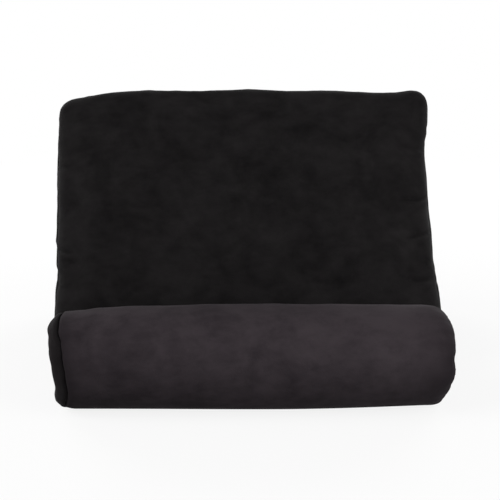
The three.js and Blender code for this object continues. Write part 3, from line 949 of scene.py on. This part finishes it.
# the zip, made flat in its own frame: x along it, y up the back, z out of the cloth
zipSettings = {
    "middle": (0.0, 0.12515, 0.03911),
    "tapeHalf": 0.118,
    "tapeNear": 0.00045,
    "tapeFar": 0.0137,
    "tapeTop": -0.0015,
    "tapeThickness": 0.0006,
    "tapeCells": (118, 8),
    "tapeRipple": (0.00008, 90.0),    # height, ripples in each metre
    "toothPitch": 0.2025 / 155,    # the slider's run is a whole number of teeth
    "toothThick": 0.48,
    "toothRun": 0.1072,
    "tooth": (-0.0003, 0.0031),
    "toothLow": -0.0012,
    "toothHigh": 0.0006,
    "toothBevel": 0.36,
    "toothLean": 5,           # degrees
    "toothStagger": 0.25,     # share of the pitch that each side is moved
    "bevel": 0.00018,
    "ribs": (0.0830, 0.0850, 0.0870, 0.0890),
    "rib": (0.0009, 0.0048, 0.0006),
    "ribLevel": 0.0038,
    "ribBevel": 0.45,
    "stitchLength": 0.0030,
    "stitchStep": 0.0040,
    "stitchThick": 0.00055,
    "stitchRow": 0.0078,
    "stitchEnd": 0.1145,
    "endStitchStep": 1.3,     # times the step along the zip
    "stitchTilt": 0.05,
    "stitchStand": 0.2,       # share of its thickness that its middle stands over the cloth
}
zipAxes = ((-1, 0, 0, 0), (0, *backUp, 0), (0, *backOut, 0), (*zipSettings["middle"], 1))
zipFrame = Matrix(zipAxes).transposed()


def ease(bm, edges, width, clamp=False):
    bmesh.ops.bevel(bm, geom=edges, offset=width, segments=2, profile=0.5, affect="EDGES", material=-1,
                    clamp_overlap=clamp)


def zipPiece(bm, name, material):
    bmesh.ops.transform(bm, matrix=zipFrame, verts=bm.verts)
    bmesh.ops.recalc_face_normals(bm, faces=bm.faces)
    return pieceFrom(bm, name, material)


def makeTape(side, name):
    s = zipSettings
    width = s["tapeFar"] - s["tapeNear"]
    cellsAlong, cellsUp = s["tapeCells"]
    height, count = s["tapeRipple"]
    bm = bmesh.new()
    bmesh.ops.create_grid(bm, x_segments=cellsAlong, y_segments=cellsUp, size=0.5)
    bmesh.ops.scale(bm, verts=bm.verts, vec=(2 * s["tapeHalf"], width, 1))
    level = s["tapeTop"] - s["tapeThickness"]
    bmesh.ops.translate(bm, verts=bm.verts, vec=(0, side * (s["tapeNear"] + width / 2), level))
    for vertex in bm.verts:
        vertex.co.z += height * noise.noise(vertex.co * count)
    bmesh.ops.solidify(bm, geom=bm.faces[:], thickness=-s["tapeThickness"])
    return zipPiece(bm, name, tapeWeave)


def makeTeeth(side, name):
    s = zipSettings
    near, far = s["tooth"]
    bm = bmesh.new()
    count = int(2 * s["toothRun"] / s["toothPitch"])
    thick = s["toothPitch"] * s["toothThick"]
    high = s["toothHigh"] - s["toothLow"]
    bmesh.ops.create_cube(bm, size=1.0)
    bmesh.ops.scale(bm, verts=bm.verts, vec=(thick, far - near, high))
    ease(bm, bm.edges[:], thick * s["toothBevel"])
    bmesh.ops.rotate(bm, verts=bm.verts, matrix=Matrix.Rotation(math.radians(s["toothLean"] * side), 3, "Z"))
    start = -(count - 1) / 2 * s["toothPitch"] + (s["toothStagger"] * side) * s["toothPitch"]
    middle = (start, side * (near + far) / 2, (s["toothLow"] + s["toothHigh"]) / 2)
    bmesh.ops.translate(bm, verts=bm.verts, vec=middle)
    first = bm.verts[:] + bm.edges[:] + bm.faces[:]
    for number in range(1, count):
        fresh = vertsOf(bmesh.ops.duplicate(bm, geom=first)["geom"])
        bmesh.ops.translate(bm, verts=fresh, vec=(number * s["toothPitch"], 0, 0))
    return zipPiece(bm, name, zipNylon)


def softened(node, name, material, width):
    # a merged copy of a hard piece, with its edges eased
    bm = bmesh.new()
    bm.from_mesh(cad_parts[node].data)
    bmesh.ops.remove_doubles(bm, verts=bm.verts, dist=1e-6)
    bmesh.ops.dissolve_limit(bm, angle_limit=math.radians(1), verts=bm.verts, edges=bm.edges)
    sharp = [edge for edge in bm.edges if edge.calc_face_angle(0) > math.radians(35)]
    ease(bm, sharp, width, clamp=True)
    if node == "zip_pull_tab":
        addGrip(bm)
    return pieceFrom(bm, name, material, False)


def makeStitches(name, panels):
    # each stitch lies on the cloth under it
    s = zipSettings
    bm = bmesh.new()
    bmesh.ops.create_uvsphere(bm, u_segments=6, v_segments=4, radius=0.5)
    bmesh.ops.rotate(bm, verts=bm.verts, matrix=Matrix.Rotation(math.pi / 2, 3, "Y"))
    bmesh.ops.scale(bm, verts=bm.verts, vec=(s["stitchLength"], s["stitchThick"], s["stitchThick"]))
    first = bm.verts[:] + bm.edges[:] + bm.faces[:]
    places = []
    count = int(2 * s["stitchEnd"] / s["stitchStep"])
    for number in range(count):
        along = (number - (count - 1) / 2) * s["stitchStep"]
        places += [(along, s["stitchRow"], 0.0), (along, -s["stitchRow"], 0.0)]
    for end in (-1, 1):
        for number in (-1, 0, 1):
            up = number * s["stitchStep"] * s["endStitchStep"]
            places.append((end * s["stitchEnd"], up, math.pi / 2))
    back = zipFrame.inverted()
    cloths = [bvhtree.BVHTree.FromPolygons([back @ v.co for v in panel.data.vertices],
                                           [face.vertices[:] for face in panel.data.polygons])
              for panel in panels]
    for along, up, turn in places:
        hits = [cloth.ray_cast(Vector((along, up, 0.02)), Vector((0, 0, -1))) for cloth in cloths]
        level = max((hit[0].z for hit in hits if hit[0]), default=0.0)
        fresh = vertsOf(bmesh.ops.duplicate(bm, geom=first)["geom"])
        tilt = turn + s["stitchTilt"] * noise.noise(Vector((along * 900, up * 900, 0.4)))
        bmesh.ops.rotate(bm, verts=fresh, matrix=Matrix.Rotation(tilt, 3, "Z"))
        bmesh.ops.translate(bm, verts=fresh, vec=(along, up, level + s["stitchThick"] * s["stitchStand"]))
    bmesh.ops.delete(bm, geom=vertsOf(first), context="VERTS")
    return zipPiece(bm, name, stitchThread)


def addGrip(bm):
    # low ribs across the pull tab, for the thumb
    s = zipSettings
    made = bmesh.new()
    for place in s["ribs"]:
        rib = bmesh.ops.create_cube(made, size=1.0)["verts"]
        bmesh.ops.scale(made, verts=rib, vec=s["rib"])
        bmesh.ops.translate(made, verts=rib, vec=(place, 0, s["ribLevel"]))
    ease(made, made.edges[:], s["rib"][2] * s["ribBevel"])
    bmesh.ops.transform(made, matrix=zipFrame, verts=made.verts)
    mesh = bpy.data.meshes.new("ribs")
    made.to_mesh(mesh)
    made.free()
    bm.from_mesh(mesh)
    bpy.data.meshes.remove(mesh)


# colours, sizes as features in each metre, roughness, and bump as strength and depth
zipFinishes = {
    "tapeWeave": {"dark": (0.006, 0.006, 0.0065, 1), "light": (0.026, 0.025, 0.026, 1),
                  "ribs": 330.0, "threads": 500.0},
    "stitchThread": {"dark": (0.012, 0.011, 0.012, 1), "light": (0.045, 0.042, 0.043, 1),
                     "ribs": 900.0, "threads": 900.0},
    "weave": {"worn": 300.0, "rough": (0.75, 0.95), "gloss": 0.12, "bump": (0.6, 0.0003)},
    "zipNylon": {"dark": (0.010, 0.010, 0.011, 1), "light": (0.030, 0.030, 0.032, 1), "worn": 700.0,
                 "rough": (0.32, 0.55), "bump": (0.2, 0.0001)},
    "zipMetal": {"dark": (0.085, 0.085, 0.092, 1), "paler": 1.35, "cloud": 130.0, "scratch": 2600.0,
                 "rough": (0.26, 0.38), "bump": (0.08, 0.00005)},
}


def weave(name):
    # ribs across a tape and a finer thread along it
    s = {**zipFinishes["weave"], **zipFinishes[name]}
    finish = Finish(name)
    where = finish.coords()
    ribs = finish.wave(where, "X", s["ribs"])
    turned = finish.mapped((1, 1, 1), (math.atan2(backUp.x, backUp.y), 0, 0))
    threads = finish.wave(turned, "Z", s["threads"])
    worn = finish.noise(where, s["worn"], 3.0)
    height = ribs * 0.6 + threads * 0.4
    share = finish.span(height + worn * 0.4, 0.3, 1.2)
    finish.set(Base_Color=finish.blendColour(share, s["dark"], s["light"]))
    finish.set(Roughness=finish.span(worn, 0.0, 1.0, *s["rough"]), Specular_IOR_Level=s["gloss"])
    finish.set(Normal=finish.bump(height, *s["bump"]))
    return finish.made


def metal(name):
    # dark plating, a little cloudy, with fine scratches along it
    s = zipFinishes[name]
    finish = Finish(name)
    cloud = finish.noise(finish.coords(), s["cloud"], 3.0)
    scratch = finish.noise(finish.mapped((0.15, 1.0, 1.0)), s["scratch"], 2.0, 0.6)
    pale = tuple(value * s["paler"] for value in s["dark"][:3]) + (1,)
    finish.set(Base_Color=finish.blendColour(finish.span(cloud, 0.3, 0.7), s["dark"], pale), Metallic=1.0)
    finish.set(Roughness=finish.span(cloud * 0.5 + scratch * 0.5, 0.3, 0.7, *s["rough"]))
    finish.set(Normal=finish.bump(scratch, *s["bump"]))
    return finish.made


def nylon(name):
    s = zipFinishes[name]
    finish = Finish(name)
    worn = finish.noise(finish.coords(), s["worn"], 2.0)
    finish.set(Base_Color=finish.blendColour(worn, s["dark"], s["light"]))
    finish.set(Roughness=finish.span(worn, 0.0, 1.0, *s["rough"]))
    finish.set(Normal=finish.bump(worn, *s["bump"]))
    return finish.made


tapeWeave = weave("tapeWeave")
stitchThread = weave("stitchThread")
zipNylon = nylon("zipNylon")
zipMetal = metal("zipMetal")

for side, word in ((1, "upper"), (-1, "lower")):
    tape = makeTape(side, "zip_tape_" + word)
    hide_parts("zip_" + word + "_tape")
    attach(tape, "cushion")
    teeth = makeTeeth(side, "zip_teeth_" + word)
    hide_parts("zip_" + word + "_coil")
    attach(teeth, "cushion")
hardware = (
    ("zip_upper_top_stop", "cushion"), ("zip_lower_top_stop", "cushion"), ("zip_bottom_stop", "cushion"),
    ("zip_slider", "zip_slider"), ("zip_pull_tab", "zip_pull"))
for node, body in hardware:
    piece = softened(node, node + "_eased", zipMetal, zipSettings["bevel"])
    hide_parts(node)
    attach(piece, body)
stitches = makeStitches("zip_stitches", wedgePanels[1:3])
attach(stitches, "cushion")
print("zip made")


# the edges that sew the roll to the foot of the face: a strip folded in two, deep in the slot
seamSettings = {
    "half": 0.1215,
    "foot": (-0.06485, 0.0158),
    "long": 0.0122,
    "apart": 0.0011,
    "thickness": 0.0009,
    "steps": 70,
    "endLong": 0.014,             # each end is lowered over this length
    "endDrop": (0.45, 0.75),      # towards this share of its height, and how much
    "ripple": (90, 0.0006, 0.0005),    # in each metre, its height out of the slot and up it
}


def makeRollSeam(name):
    s = seamSettings
    bm = bmesh.new()
    foot = Vector(s["foot"])
    off = faceOut * (s["apart"] / 2)
    top = foot + faceUp * s["long"]
    fold = top + faceUp * (s["apart"] / 2)
    half = (foot + top) / 2
    points = [foot - off, half - off, top - off, fold, top + off, half + off, foot + off]
    verts = [bm.verts.new((-s["half"], point.x, point.y)) for point in points]
    edges = [bm.edges.new(pair) for pair in zip(verts, verts[1:])]
    for step in range(s["steps"]):
        made = bmesh.ops.extrude_edge_only(bm, edges=edges)
        fresh = vertsOf(made["geom"])
        edges = [item for item in made["geom"] if isinstance(item, bmesh.types.BMEdge)
                 and item.verts[0] in fresh and item.verts[1] in fresh]
        bmesh.ops.translate(bm, verts=fresh, vec=(2 * s["half"] / s["steps"], 0, 0))
    out, up = Vector((0, *faceOut)), Vector((0, *faceUp))
    level, drop = s["endDrop"]
    count, rippleOut, rippleUp = s["ripple"]
    for vertex in bm.verts:
        high = (flatOf(vertex.co) - foot).dot(faceUp) / s["long"]
        ripple = noise.noise(Vector((vertex.co.x * count, 0.3, 0.8)))
        ending = smoothStep(abs(vertex.co.x), s["half"] - s["endLong"], s["half"])
        vertex.co -= up * (s["long"] * (high - level) * drop * ending)
        vertex.co += out * (rippleOut * ripple * high) + up * (rippleUp * ripple * high)
    bmesh.ops.recalc_face_normals(bm, faces=bm.faces)
    piece = pieceFrom(bm, name, rollSuede)
    thicken(piece, s["thickness"], 0)
    return piece


rollSeam = makeRollSeam("roll_sewn_edge")
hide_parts("roll_seam")
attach(rollSeam, "cushion")
print("sewn edge made")
